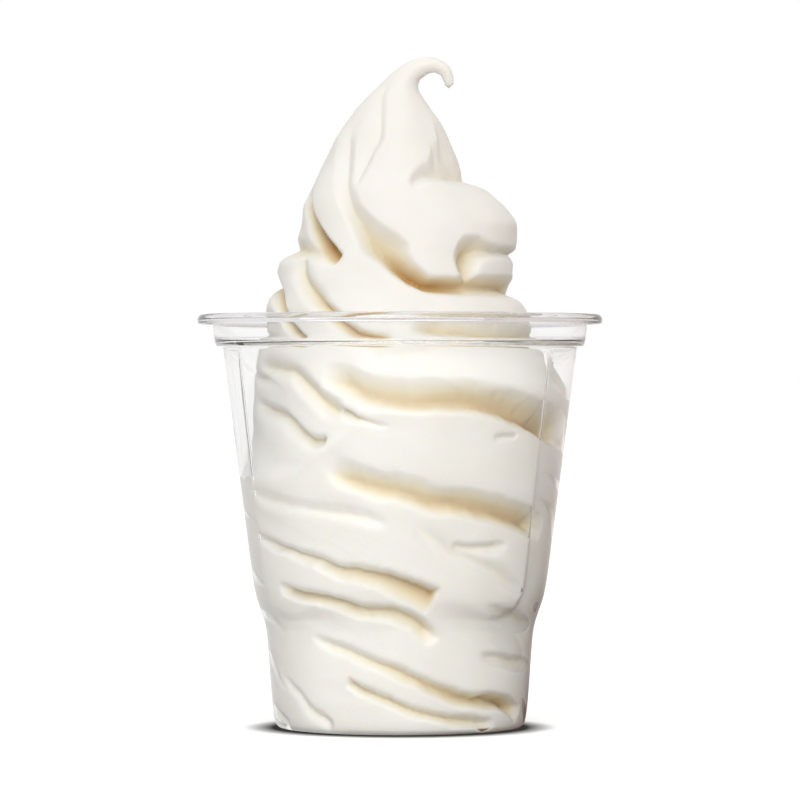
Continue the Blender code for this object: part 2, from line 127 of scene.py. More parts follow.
# The soft serve. Rows of the envelope: height, reach to the left, right, front and back of the cup's axis.
ENVELOPE = (
    (0.0, 40.0, 40.0, 40.0, 40.0),
    (58.0, 39.5, 42.0, 43.0, 42.0),
    (65.0, 37.2, 42.5, 43.0, 42.0),
    (72.0, 35.8, 42.5, 42.6, 41.5),
    (81.0, 35.3, 41.5, 41.2, 40.5),
    (87.0, 35.2, 38.4, 39.4, 38.0),
    (91.0, 34.4, 35.6, 38.0, 36.4),
    (95.0, 32.6, 33.2, 35.6, 34.6),
    (101.0, 32.8, 31.4, 33.2, 32.6),
    (105.0, 31.6, 28.6, 30.6, 30.4),
    (109.0, 30.4, 27.6, 29.0, 28.8),
    (113.5, 29.0, 27.3, 27.6, 27.4),
    (117.5, 25.6, 27.5, 26.4, 26.2),
    (121.5, 24.5, 27.4, 25.2, 25.2),
    (126.0, 23.8, 24.7, 23.6, 23.8),
    (131.0, 21.6, 19.6, 21.4, 21.2),
    (135.5, 19.3, 17.4, 18.8, 18.2),
    (142.6, 15.9, 12.5, 14.8, 14.8),
)

# How far it reaches into the cup's wall and floor, and the height of its underside beside the raised middle.
INTO_WALL = 0.25
INTO_FLOOR = 0.18
FOOD_FLOOR = 0.42

# Rows of its foot: height of the ring and how far it is drawn in. Under them lie two rings on the raised
# middle of the cup's floor and one beside it.
FOOT = ((FOOD_FLOOR, 1.6), (0.5, 1.1), (0.8, 0.6), (1.3, 0.25), (2.0, 0.1), (2.8, 0.0))
UNDER_RAISED = (12.0, 23.0)
UNDER_OUTSIDE = 25.6

# Below a height the wall holds it in, with a rounding where it comes free. Folds as shallow as FOLD_AT_WALL
# stay on the wall.
HELD_BELOW = 93.0
HELD_ROUNDING = 0.12
HELD_SHIFT = 0.1
FOLD_AT_WALL = 0.1

# Stations of the bent tip: length along the spine, x and z of its centre, half width, and degrees turned.
TIP = (
    (142.6, -1.7, 142.6, 14.2, 0.0),
    (149.4, -1.5, 149.4, 9.5, 0.0),
    (152.8, -1.2, 152.8, 7.0, 0.0),
    (155.3, -0.4, 155.2, 5.0, 4.0),
    (158.0, 1.0, 157.5, 3.8, 9.0),
    (160.8, 3.1, 159.3, 3.1, 24.0),
    (163.3, 5.3, 160.5, 2.5, 44.0),
    (165.7, 7.7, 160.9, 2.0, 76.0),
    (168.1, 10.0, 160.1, 1.7, 110.0),
    (169.8, 11.2, 158.9, 1.5, 137.0),
    (171.2, 11.7, 157.6, 1.35, 153.0),
    (172.8, 12.0, 156.1, 1.1, 167.0),
)
TIP_END = (11.9, 155.2)
TIP_CLOSER = 1.35
FOOD_SIDES = 352
FOOD_ROWS, TIP_ROWS = 234, 38
FOOD_ROWS_FROM = 3.5
DENSER_FRONT = 0.25
FULL_RELIEF = 16.0  # the relief is full where the radius is larger than this, and finer in the slim tip
LEAST_RELIEF, MOST_SWELL = 0.12, 0.8

# The folds, where the strands of the swirl meet. A fold follows points on the surface, as degrees round to
# the right of the front and height, and its left and right are those of its own direction: the left of a fold
# that runs to the right is above it. Depth and warmth are given at even steps from its first point to its
# last. So are the widths of a side, which end with its roundness: 1 makes a flat facet with a crisp brow, and
# 2 a round swell. The ends fade over two lengths. A lip hangs over the fold from its left side, or from its
# right where lean is below 0. Warmth is how strongly the fold is painted with warm, dark shade, which stands
# in for the shade and the light scattered inside it.
Fold = namedtuple("Fold", "points depth left right fades lean warmth", defaults=(0.0, (1.0,)))
Nearest = namedtuple("Nearest", "distance signed along place left_x left_y whole")

# In widths of the fold: how far round its line it is looked for, how far it goes on past its last point, and
# how far off its lip stands and how wide the lip is. A fold has begun to grow at its very first point.
FOLD_REACH = 1.5
END_ROUNDING = 0.5
LIP_FROM, LIP_WIDTH = 0.8, 1.2
END_STARTS = 0.15
# The attribute that the material reads sets how strongly the warm, dark shade is painted into the folds.
PAINTED_SHADE_UNIT = 6.0  # millimetres of warm depth to 1 in the attribute that the material reads

CROWN_FOLDS = (
    # under the main lobe, from the top of the back round to the right
    Fold(
        ((-66, 149), (-50, 142), (-41, 135), (-34, 128.5), (-29, 123), (-20, 117), (-7, 113), (1, 110),
         (9, 107.5), (18, 106), (31, 106), (44, 106.5), (62, 106.5), (90, 106), (118, 102)),
        (1.0, 1.4, 1.8, 2.2, 3.2, 5.0, 6.0, 6.6, 6.6, 6.4, 6.0, 5.4, 5.0, 5.0, 3.0),
        (3.0, 3.0, 3.2, 3.4, 4.4, 6.0, 6.4, 5.4, 4.4, 3.6, 3.4, 3.4, 3.4, 3.4, 3.0, 1.05),
        (5.0, 4.5, 3.5, 2.5, 1.8, 1.2, 1.1, 1.1, 1.2, 1.4, 2.0, 2.6, 2.8, 2.8, 3.0, 1.2),
        (14, 16), 0.3, (0.4, 0.4, 0.4, 0.5, 0.6, 0.7, 0.9, 1.3, 1.7, 1.8, 1.4, 1.0, 1.0, 1.0, 1.0),
    ),
    # up the main lobe's left edge to the tip
    Fold(
        ((-40, 156), (-20, 149.5), (-13, 143.5), (-21, 138.5), (-26, 134), (-28, 130)),
        (1.6, 1.6),
        (1.6, 1.8, 1.5),
        (5, 5, 2.0),
        (4, 5), 0.0, (0.3,),
    ),
    # between the tip and the shelf to its right
    Fold(
        ((9, 130.8), (16, 132), (26, 133), (36, 133), (45, 132.6), (56, 132.4), (70, 132.3),
         (90, 132.2), (140, 130)),
        (1.8, 2.6, 3.4, 4.0, 4.4, 4.8, 5.0, 4.8, 1.5),
        (1.6, 2.6, 4.2, 8.0, 12.0, 15.0, 16.0, 15.0, 8.0, 1.1),
        (2.2, 2.5, 2.0),
        (2.5, 12), 0.0, (0.3,),
    ),
    # the deep gap at the left
    Fold(
        ((-92, 131), (-76, 128.5), (-64, 125.5), (-56, 122), (-48, 119), (-39, 116), (-28, 113.3)),
        (1.4, 4.0, 5.4, 5.6, 5.4, 5.0, 4.0),
        (2.0, 1.3, 1.1),
        (2.0, 2.2, 2.6, 2.6, 2.6, 2.2, 2.0, 0.65),
        (8, 1.5), 0.5, (1.2, 2.6),
    ),
    # over the lower coil at the left
    Fold(
        ((-130, 119), (-90, 115.5), (-71, 115.5), (-56, 115), (-45, 114.5), (-35, 113.5), (-25, 112)),
        (3.0, 3.2, 2.2, 0.8),
        (4, 3, 1.7),
        (3, 3, 2.0),
        (12, 4),
    ),
    # two creases that go down into the cup at the left
    Fold(
        ((-50, 114.5), (-50, 111), (-46, 108), (-38, 104.5), (-31, 101), (-24, 97.5), (-16, 94.5),
         (-3, 93.5)),
        (1.8, 4.2),
        (5, 2.6, 1.8),
        (4, 3, 2.0),
        (4, 6), 0.4, (0.6, 2.6),
    ),
    Fold(
        ((-140, 111), (-100, 108.5), (-74, 106.5), (-63, 103.5), (-57, 100), (-51, 96.5), (-43, 93)),
        (4.5, 4.2),
        (4, 2, 1.6),
        (4, 2.2, 1.6),
        (12, 2.5), 0.4, (1.4, 2.4),
    ),
    # the pocket at the right, under the shelf's lip and down beside the main lobe
    Fold(
        ((130, 113.5), (90, 114.9), (70, 115.4), (55, 115.4), (46, 115), (41, 113.6), (39, 111),
         (40, 108), (43, 106)),
        (1.5, 2.0, 2.6, 3.6, 5.0, 6.0, 5.2, 3.6, 1.6),
        (3.0, 2.5, 2.5, 2.5, 3.0, 3.5, 3.5, 3.0, 2.0, 1.8),
        (2.0, 1.4, 1.4, 2.2, 4.5, 6.8, 4.6, 2.0, 1.2, 1.1),
        (10, 2), -0.3, (0.7,),
    ),
)
CUP_FOLDS = (
    # behind the band
    Fold(
        ((-16, 91), (-2, 91), (13, 91.5)),
        (1.1, 1.1),
        (2.5, 2.5, 2.0),
        (3, 3, 2.0),
        (5, 5),
    ),
    Fold(
        ((4, 96), (20, 95), (38, 94), (69, 92.5), (110, 90)),
        (3.6, 4.4),
        (4.5, 6, 1.2),
        (1.8, 2.0, 1.8),
        (6, 14), 0.0, (1.1, 0.7),
    ),
    # the widest one
    Fold(
        ((-34, 84.5), (-25, 83), (-19, 81), (-12, 79.5), (2, 78.5), (17, 78.5), (32, 77), (45, 74.5),
         (58, 72), (80, 69)),
        (3.6, 6.0),
        (5.5, 7.5, 1.1),
        (2.8, 3.4, 2.0),
        (9, 12), 0.0, (1.15,),
    ),
    # to its left: a valley, a notch under a strand, and the foot of a lobe
    Fold(
        ((-76, 88), (-61, 87), (-50, 86.5), (-43, 83.5), (-37, 80.5), (-31, 78), (-25, 76.5)),
        (1.6, 3.0),
        (4, 3.5, 1.8),
        (3.4, 4.4, 2.0),
        (8, 4), 0.0, (1.3,),
    ),
    Fold(
        ((-27, 77.8), (-21, 76), (-16, 75), (-8, 73)),
        (4.0, 1.0),
        (1.4, 1.2, 1.4),
        (3, 1.6, 1.8),
        (1.5, 5), 0.6,
    ),
    Fold(
        ((-80, 79), (-61, 77), (-56, 76.5), (-50, 74.5), (-43, 71.5), (-37, 70), (-32, 70.5)),
        (2.2, 3.4),
        (2.4, 1.6, 1.5),
        (4, 3, 1.8),
        (10, 1.5), 0.4,
    ),
    Fold(
        ((31, 70.5), (37, 71), (43, 71.5)),
        (1.6, 1.2),
        (1.6, 1.2, 2.0),
        (1.2, 1.0, 1.6),
        (2, 3),
    ),
    # the middle
    Fold(
        ((-30, 63), (-20, 60.5), (-12, 59), (1, 57.5), (9, 55.5), (21, 54.5), (34, 53), (50, 50.5),
         (66, 48)),
        (3.2, 4.6),
        (4.2, 5, 1.1),
        (3.6, 4.4, 2.0),
        (8, 10), 0.0, (1.5,),
    ),
    Fold(
        ((18, 45.5), (29, 45), (44, 45)),
        (2.2, 1.4),
        (1.2, 1.2, 1.6),
        (3.5, 3.5, 1.8),
        (4, 6),
    ),
    Fold(
        ((3, 51), (11, 47), (17, 44), (27, 42), (40, 38.5), (56, 33)),
        (1.0, 1.3),
        (3, 3, 1.6),
        (5, 5, 2.0),
        (7, 10),
    ),
    Fold(
        ((-70, 58), (-48, 55), (-30, 53.5), (-14, 52), (-4, 49.5)),
        (0.9, 1.1),
        (3, 3, 1.8),
        (4, 4, 1.8),
        (9, 9),
    ),
    # round the shoulder
    Fold(
        ((-70, 48), (-51, 45), (-34, 42.5), (-25, 40.5), (-12, 39.5), (0, 37.5), (14, 34.2)),
        (1.8, 5.6),
        (1.6, 1.8, 1.5),
        (1.8, 5.4, 0.7),
        (12, 0.8), 0.8, (0.9, 1.3),
    ),
    Fold(
        ((-54, 35.2), (-36, 33.5), (-26, 32.5), (-17, 31), (-6, 30.5), (5, 28.5), (17, 23)),
        (3.8, 3.2),
        (1.5, 1.6, 1.5),
        (2.4, 4.2, 0.8),
        (4, 6), 0.6, (1.3,),
    ),
    Fold(
        ((34, 31), (52, 28.5), (75, 25)),
        (1.0, 1.6),
        (2.0, 2.0, 1.6),
        (5, 5, 1.8),
        (8, 8),
    ),
    # down to the floor
    Fold(
        ((-42, 23.5), (-23, 20), (-15, 18.5), (-6, 16.5), (6, 14), (19, 11), (33, 9), (53, 8), (68, 5)),
        (1.8, 5.4),
        (1.7, 1.9, 1.5),
        (2.2, 3.4, 0.9),
        (8, 2), 0.4, (1.1, 1.4),
    ),
    Fold(
        ((35, 19), (53, 17.8), (76, 16.2)),
        (1.0, 2.2),
        (1.5, 1.5, 1.6),
        (4, 5, 1.6),
        (6, 8),
    ),
    Fold(
        ((-24, 12.8), (-17, 11), (-6, 9), (6, 6), (20, 4.5), (34, 3.5), (48, 2)),
        (3.6, 3.0),
        (1.4, 1.5, 1.5),
        (1.8, 2.4, 0.9),
        (0.6, 6), 0.3, (1.2,),
    ),
    Fold(
        ((-66, 14), (-52, 9.5), (-45, 6), (-38, 4), (-32, 2)),
        (0.8, 2.0),
        (1.8, 1.8, 1.8),
        (3, 3, 1.8),
        (6, 1),
    ),
    Fold(
        ((-84, 6), (-72, 3.5), (-62, 1)),
        (1.2, 3.0),
        (1.8, 1.6, 1.6),
        (3, 3, 1.8),
        (4, 1),
    ),
)

BACK_FOLDS = (
    # from the left of the back's tip down to the creases at the left of the front
    Fold(
        ((118, 142), (138, 135), (157, 127), (176, 119.5), (196, 113.5), (216, 109.5), (238, 108),
         (264, 108.5)),
        (1.0, 5.5),
        (6, 7, 1.3),
        (5, 5, 2.0),
        (10, 10), 0.4, (1.4,),
    ),
    # between the tip and a shelf to its left, which the deep gap at the left takes up
    Fold(
        ((172, 137), (192, 138), (214, 136), (240, 132.5), (266, 131)),
        (2.0, 2.4),
        (3, 9, 1.2),
        (3, 4, 2.0),
        (5, 8),
    ),
    # a pocket under that shelf
    Fold(
        ((236, 117), (214, 120), (198, 122.5), (192, 120), (194, 117)),
        (1.4, 3.2),
        (4, 6, 1.0),
        (1.6, 2, 1.4),
        (6, 3),
    ),
)

# In the cup the sides and the back have creases between strands that wind down to the right and come and go.
# STRAND_RISE is how far they fall for a radian round.
STRANDS = 7
STRAND_RISE = 12.3
STRAND_DEPTH = 1.5
STRAND_WARP = 1.2
STRAND_CRISP = 2.4
STRANDS_FROM = math.radians(50)
STRANDS_OVER = math.radians(34)
STRANDS_TOP = 102.0
STRANDS_FADE = 8.0

# Unevenness: the rise of the slow swell for a radian round, how far the lines of the folds wander in the cup
# and in the crown, and how far the surface can lie off the wall between the strands.
SWELL_RISE = 26.0
RAGGED = 0.3
RAGGED_CROWN = RAGGED / 3
CUP_TO_CROWN = (96.0, 104.0)
LOOSE = 0.4
LOOSE_FROM = 0.05

# The ice cream is cream. The shallow and the deep parts of a fold are painted with warmer, darker colours:
# painted shade, which stands in for the shade and the light scattered in the folds.
CREAM = ((0.815, 0.798, 0.755, 1), (0.838, 0.824, 0.786, 1))
SHALLOW, PAINTED_SHALLOW_FOLD_SHADE = (0.05, 0.55), (0.78, 0.70, 0.52, 1)
DEEP, PAINTED_DEEP_FOLD_SHADE = (0.45, 1.5), (0.55, 0.34, 0.13, 1)
SCATTER_RADIUS = (0.004, 0.0022, 0.0011)

# The plastic is clear, with a grey tint in the brim that comes in between two heights in metres. Light that
# falls through a wall to the soft serve keeps the last of these colours.
CLEAR = (0.985, 0.99, 0.99, 1)
BRIM_TINT = (0.84, 0.835, 0.845, 1)
BRIM_FROM = (0.0972, 0.0982)
LET_THROUGH = (0.96, 0.965, 0.965, 1)

# The studio. What the plastic mirrors of the world and the floor is white straight behind the cup and darker
# at the sides, and darkest on the floor close to its right. What lights the surfaces is set apart from that:
# the ambient light from the left, the right and behind, what the floor throws back, and two broad lights.
WHITE = (1.0, 1.0, 1.0, 1)
WORLD_LEFT = (0.94, 0.93, 0.93, 1)
WORLD_RIGHT = (0.84, 0.77, 0.73, 1)
FLOOR_RIGHT = (0.15, 0.10, 0.08, 1)
BEHIND, SIDEWAYS = (0.972, 0.99), (-0.45, 0.6)
AMBIENT_LEFT = (0.50, 0.50, 0.49, 1)
AMBIENT_RIGHT = (0.55, 0.525, 0.50, 1)
AMBIENT_BACK = (0.9, 0.89, 0.87, 1)
AMBIENT_SIDEWAYS, AMBIENT_BEHIND = (-0.9, 0.9), (-0.1, 0.6)
FLOOR_BOUNCE = (0.39, 0.37, 0.345, 1)
OVERHEAD = 0.34
FRONT = 1.8

# The floor in metres: half its width, the radii between which the painted contact shadow close under the cup
# fades, how far that painted shadow lies to the front, and the distances over which the mirrored floor takes
# on the world's colour. The shadow is painted into the floor's colour, and the floor's glow is turned down
# there.
FLOOR_HALF = 30.0
PAINTED_SHADOW_RADII = (0.0308, 0.0385)
PAINTED_SHADOW_FORWARD = (0.0, 0.003, 0.0)
PAINTED_CONTACT_SHADOW = (0.03, 0.029, 0.028, 1)
FLOOR_GLOW = (0.02, 0.3)
FAR_FLOOR = (0.15, 0.9)

# The camera in metres, at the photograph's viewing angle, and its lens in millimetres.
CAMERA_PLACE = (0.0, -1.15, 0.083)
CAMERA_AIM = (0.0, 0.0, 0.0794)
LENS, SENSOR = 212.7, 36.0
SEE_TO = 100.0


def ease(x):
    x = np.clip(x, 0.0, 1.0)
    return x * x * (3.0 - 2.0 * x)


def curve_through(knots, values, at):
    """A smooth curve through values at knots that makes no bumps of its own."""
    knots, values = np.asarray(knots, float), np.asarray(values, float)
    steps = np.diff(knots)
    slopes = np.diff(values) / steps
    tangents = np.zeros(len(knots))
    tangents[0], tangents[-1] = slopes[0], slopes[-1]
    rising = slopes[:-1] * slopes[1:] > 0
    both = 2.0 * slopes[:-1] * slopes[1:]
    total = np.where(rising, slopes[:-1] + slopes[1:], 1.0)
    tangents[1:-1] = np.where(rising, both / total, 0.0)
    i = np.clip(np.searchsorted(knots, at) - 1, 0, len(steps) - 1)
    s = np.clip((at - knots[i]) / steps[i], 0.0, 1.0)
    start = values[i] * (1 + 2 * s) * (1 - s) ** 2 + values[i + 1] * s * s * (3 - 2 * s)
    turn = tangents[i] * s * (1 - s) ** 2 - tangents[i + 1] * s * s * (1 - s)
    return start + steps[i] * turn


def lattice_value(ix, iy, iz, seed):
    """A fixed number from -1 to 1 for each whole-numbered place, scrambled by large uneven factors."""
    mixed = np.sin(ix * 127.1 + iy * 311.7 + iz * 74.7 + seed * 19.19) * 43758.5453
    return 2.0 * (mixed - np.floor(mixed)) - 1.0


def noise(x, y, z, seed):
    """Smooth noise from -1 to 1 over space, one unit to a bump."""
    ix, iy, iz = np.floor(x), np.floor(y), np.floor(z)
    fx, fy, fz = ease(x - ix), ease(y - iy), ease(z - iz)
    total = np.zeros(np.shape(x))
    for cx in (0, 1):
        for cy in (0, 1):
            for cz in (0, 1):
                share = (fx if cx else 1 - fx) * (fy if cy else 1 - fy) * (fz if cz else 1 - fz)
                total += share * lattice_value(ix + cx, iy + cy, iz + cz, seed)
    return total


def bumps(x, y, height, wide, tall, seed):
    """Noise over the surface with bumps of a given width and height."""
    return noise(x / wide, y / wide, height / tall, seed)


def winding_noise(wind, height, across, tall, seed):
    """Noise that is the same all along a strand and changes slowly with the height."""
    return noise(across * np.cos(wind), across * np.sin(wind), height / tall, seed)


def panel_rise(angle, height):
    """How far the wall stands out at an angle from the front, which is the same half a turn on."""
    away = np.abs(np.mod(angle - PANEL_MIDDLE + math.pi / 2, math.pi) - math.pi / 2)
    across = away * PANEL_RADIUS - PANEL_EDGE * PANEL_RADIUS + PANEL_CORNER
    below = PANEL_FLOOR - height + PANEL_CORNER
    outside = np.hypot(np.maximum(across, 0.0), np.maximum(below, 0.0)) - PANEL_CORNER
    under_band = ease((PANEL_TOP - height) / PANEL_TOP_STEP)
    grown = ease((PANEL_EDGE - away - STEP_SHORT_FOR) / STEP_GROWS_OVER)
    step = PANEL_STEP * (1.0 + STEP_GROWS_BY * grown)
    return PANEL_RISE * ease(-outside / step) * under_band


def wall_inside(angle, height):
    heights, radii = zip(*sorted(INNER[INNER_WALL]))
    return np.interp(height, heights, radii) + panel_rise(angle, height)


def envelope_at(height):
    """Reach of the envelope to the left, right, front and back at each height."""
    table = np.array(ENVELOPE)
    return [curve_through(table[:, 0], table[:, column], height) for column in (1, 2, 3, 4)]


def along_fold(values, share):
    """A value given at even steps along a fold, at shares of its length."""
    if len(values) == 1:
        return np.full(np.shape(share), values[0])
    return curve_through(np.linspace(0.0, 1.0, len(values)), values, share)


def fold_path(points):
    """A fold's line as closely spaced angles and heights."""
    angle, height = np.array(points, float).T
    at = np.linspace(0, len(angle) - 1, 10 * len(angle))
    knots = np.arange(len(angle))
    return np.radians(curve_through(knots, angle, at)), curve_through(knots, height, at)


def nearest_on_path(angle, height, radius, path_angle, path_height):
    """Where each point lies by a path: its distance, how far it is to the left, the length and the count of
    stretches up to its place on the path, the direction to the left there, and the path's whole length."""
    best = np.full(angle.shape, np.inf)
    signed, along, place, left_x, left_y = (np.zeros(angle.shape) for _ in range(5))
    run = 0.0
    for i in range(len(path_angle) - 1):
        ex, ey = (path_angle[i + 1] - path_angle[i]) * radius, path_height[i + 1] - path_height[i]
        px, py = (angle - path_angle[i]) * radius, height - path_height[i]
        length = np.maximum(np.hypot(ex, ey), 1e-6)
        s = np.clip((px * ex + py * ey) / length**2, 0.0, 1.0)
        distance = np.hypot(px - s * ex, py - s * ey)
        closer = distance < best
        best = np.where(closer, distance, best)
        signed = np.where(closer, (ex * py - ey * px) / length, signed)
        along = np.where(closer, run + s * length, along)
        place = np.where(closer, i + s, place)
        left_x, left_y = np.where(closer, -ey / length, left_x), np.where(closer, ex / length, left_y)
        run = run + length
    return Nearest(best, signed, along, place, left_x, left_y, run)


def fold_ends(fades, at, widest):
    """From 0 to 1, how far a fold has grown out of its faded ends."""
    grown = ease(at.along / fades[0] + END_STARTS) * ease((at.whole - at.along) / fades[1] + END_STARTS)
    beyond = np.sqrt(np.maximum(at.distance**2 - at.signed**2, 0.0))
    return grown * (1.0 - ease(beyond / (END_ROUNDING * widest)))


def fold_lip(lean, signed, width):
    """From 0 to 1, how much of a lip there is at a distance from the fold's line."""
    return np.exp(-(((signed * np.sign(lean) - LIP_FROM * width) / (LIP_WIDTH * width)) ** 2))


def press_fold(fold, angle, height, radius, ragged):
    """Depth of one fold at each point, depth for its painted shade, and how far it shifts the surface
    sideways and up.
    """
    path_angle, path_height = fold_path(fold.points)
    depths, warm, across, up = (np.zeros(angle.shape) for _ in range(4))
    reach = FOLD_REACH * max(fold.left[:-1] + fold.right[:-1])
    middle = (path_angle.min() + path_angle.max()) / 2
    angle = np.mod(angle - middle + math.pi, 2 * math.pi) - math.pi + middle
    near = (height > path_height.min() - reach) & (height < path_height.max() + reach)
    near &= (angle > path_angle.min() - reach / radius) & (angle < path_angle.max() + reach / radius)
    if not near.any():
        return depths, warm, across, up
    at = nearest_on_path(angle[near], height[near], radius[near], path_angle, path_height)
    share = at.place / (len(path_angle) - 1)
    left, right = along_fold(fold.left[:-1], share), along_fold(fold.right[:-1], share)
    signed = at.signed + ragged[near]
    on_left = np.clip(1.0 - signed / left, 0.0, 1.0) ** fold.left[-1]
    on_right = np.clip(1.0 + signed / right, 0.0, 1.0) ** fold.right[-1]
    ends = fold_ends(fold.fades, at, np.maximum(left, right))
    depths[near] = along_fold(fold.depth, share) * ends * np.where(signed > 0, on_left, on_right)
    warm[near] = along_fold(fold.warmth, share) * depths[near]
    lip = fold_lip(fold.lean, signed, left if fold.lean > 0 else right) * ends
    across[near] = -fold.lean * lip * at.left_x
    up[near] = -fold.lean * lip * at.left_y
    return depths, warm, across, up


def strand_creases(angle, height, x, y):
    """Depth of the creases that wind round the sides and the back."""
    wind = angle + height / STRAND_RISE
    warp = STRAND_WARP * bumps(x, y, height, wide=17.0, tall=13.0, seed=6)
    crease = (1.0 - np.abs(np.sin(STRANDS / 2 * wind + warp))) ** STRAND_CRISP
    comes = ease(0.55 + 1.2 * winding_noise(wind, height, across=2.2, tall=26.0, seed=7))
    at_side = ease((np.abs(angle) - STRANDS_FROM) / STRANDS_OVER)
    return STRAND_DEPTH * crease * comes * at_side * ease((STRANDS_TOP - height) / STRANDS_FADE)


def swell(angle, height):
    """Slow unevenness of the surface: three waves round the swirl, each with its own size, count and tilt."""
    wind = angle + height / SWELL_RISE
    slow = 0.5 * np.sin(2 * wind + 0.9) + 0.4 * np.sin(3 * angle - height / 11.0 + 2.1)
    return slow + 0.3 * np.sin(5 * wind - height / 7.0)


def ring_frames(length):
    """Centre, half sizes and turn of each ring along the spine."""
    table = np.array(TIP)
    low = length <= TIP[0][0]
    left, right, front, back = envelope_at(np.minimum(length, TIP[0][0]))
    tip_x, tip_z, tip_half, tip_turn = (curve_through(table[:, 0], table[:, i], length) for i in (1, 2, 3, 4))
    centre_x = np.where(low, (right - left) / 2, tip_x)
    centre_z = np.where(low, length, tip_z)
    half_x = np.where(low, (left + right) / 2, tip_half)
    half_y = np.where(low, (front + back) / 2, tip_half * (front + back) / (left + right))
    centre_y = np.where(low, (back - front) / 2, 0.0)
    turned = np.where(low, 0.0, np.radians(tip_turn))
    return centre_x, centre_y, centre_z, half_x, half_y, turned


def row_lengths():
    """Lengths along the spine at which the rings of the soft serve lie, closer together in the tip."""
    start, end = TIP[0][0], TIP[-1][0]
    foot = [height for height, _ in FOOT]
    body = np.linspace(FOOD_ROWS_FROM, start, FOOD_ROWS)
    tip = end - (end - start) * np.linspace(1.0, 0.0, TIP_ROWS)[1:] ** TIP_CLOSER
    return np.concatenate([foot, body, tip])


def ring_angles(sides):
    """Angles from the front of the points of a ring, closer together at the front."""
    even = np.linspace(-math.pi, math.pi, sides, endpoint=False)
    return even - DENSER_FRONT * np.sin(even)


def ragged_edge(x, y, height):
    """How far the folds' lines wander to the side, which is less in the crown."""
    coarse = bumps(x, y, height, wide=3.1, tall=3.1, seed=1)
    fine = bumps(x, y, height, wide=1.3, tall=1.3, seed=2)
    return (coarse + 0.6 * fine) * np.interp(height, CUP_TO_CROWN, (RAGGED, RAGGED_CROWN))


def pressed_in(angle, height, radius, x, y):
    """Depth in the folds at each point, the depth for their painted warm shade, and the shifts of their lips.
    """
    ragged = ragged_edge(x, y, height)
    total = strand_creases(angle, height, x, y) ** 3
    # The creases between the strands are painted with warm shade as well.
    warm = total.copy()
    across, up = np.zeros(angle.shape), np.zeros(angle.shape)
    for fold in CROWN_FOLDS + CUP_FOLDS + BACK_FOLDS:
        depth, warm_depth, sideways, upwards = press_fold(fold, angle, height, radius, ragged)
        total += depth**3
        warm += warm_depth**3
        across += sideways
        up += upwards
    return np.cbrt(total), np.cbrt(warm), across, up


def held_in(reach, wall):
    """How far from the axis a point lies where the wall holds it in, with a rounding where it comes free."""
    spare = wall - reach
    blended = reach + spare / 2 - np.sqrt(spare**2 / 4 + HELD_ROUNDING) + HELD_SHIFT
    return np.minimum(blended, wall)


def food_points(length, sides):
    """Points of the soft serve's surface, a row to each ring, and the depth for the folds' painted shade at
    each.
    """
    angle, height = np.meshgrid(ring_angles(sides), length)
    cx, cy, cz, hx, hy, turned = (np.repeat(v[:, None], sides, axis=1) for v in ring_frames(length))
    radius = np.minimum((hx + hy) / 2, wall_inside(angle, height))
    ux, uy = radius * np.sin(angle), -radius * np.cos(angle)
    depth, warm, across, up = pressed_in(angle, height, radius, ux, uy)
    relief = np.clip(radius / FULL_RELIEF, LEAST_RELIEF, 1.0)
    drawn_in = np.interp(height, *zip(*FOOT))
    layered = winding_noise(angle + height / STRAND_RISE, height, across=2.4, tall=24.0, seed=3)
    detail = 0.4 * layered + 0.1 * bumps(ux, uy, height, wide=4.0, tall=2.0, seed=4)
    move = (swell(angle, height) + detail) * np.minimum(relief, MOST_SWELL) - depth * relief - drawn_in
    outwards = np.stack([hx * np.sin(angle), -hy * np.cos(angle)])
    outwards = outwards / np.hypot(*outwards)
    x = hx * np.sin(angle) + outwards[0] * move + np.cos(angle) * across
    y = cy - hy * np.cos(angle) + outwards[1] * move + np.sin(angle) * across
    lifting = layered + 0.5 * bumps(ux, uy, height, wide=9.0, tall=5.0, seed=5) - LOOSE_FROM
    wall = wall_inside(np.arctan2(x + cx, -y), height) + INTO_WALL - drawn_in
    wall = wall - np.maximum(depth - FOLD_AT_WALL, 0.0) - LOOSE * np.maximum(lifting, 0.0)
    reach = np.hypot(x + cx, y)
    in_cup = height < HELD_BELOW
    scale = np.where(in_cup, held_in(reach, wall) / reach, 1.0)
    px = np.where(in_cup, (x + cx) * scale, cx + x * np.cos(turned) + up * np.sin(turned))
    py = y * scale
    pz = cz - x * np.sin(turned) * (~in_cup) + up * np.cos(turned)
    return np.stack([px, py, np.maximum(pz, FOOD_FLOOR)], axis=-1), warm


def ring_at(angle, radius, height):
    """Points of a level ring round the axis. The radius may change along it."""
    level = np.full(len(angle), height)
    return np.stack([radius * np.sin(angle), -radius * np.cos(angle), level], axis=-1)


def floor_rings(angle):
    """Rings under the soft serve, from the axis out, over the cup's raised floor, and the raised height."""
    raised = PUSH_UP + WALL - INTO_FLOOR
    rings = [ring_at(angle, radius, raised) for radius in UNDER_RAISED]
    return rings + [ring_at(angle, UNDER_OUTSIDE, FOOD_FLOOR)], raised


def stacked_rings(rings, start, end):
    """Vertices and faces of a closed skin over rings of equal count, from one end point to the other."""
    sides = len(rings[0])
    points = np.concatenate([[start], np.concatenate(rings), [end]])
    i = np.arange(sides)
    j = (i + 1) % sides
    low = 1 + sides * np.arange(len(rings) - 1)[:, None]
    quads = np.stack([low + i, low + j, low + sides + j, low + sides + i], axis=-1).reshape(-1, 4)
    top = 1 + (len(rings) - 1) * sides
    first = np.stack([np.zeros(sides, int), 1 + j, 1 + i], axis=-1)
    last = np.stack([top + i, top + j, np.full(sides, len(points) - 1)], axis=-1)
    return points, first.tolist() + quads.tolist() + last.tolist()


def add_piece(name, points, faces, material):
    mesh = bpy.data.meshes.new(name)
    mesh.from_pydata((points * METRES).tolist(), [], faces)
    mesh.validate()
    mesh.shade_smooth()
    mesh.materials.append(material)
    obj = bpy.data.objects.new(name, mesh)
    bpy.context.scene.collection.objects.link(obj)
    return obj


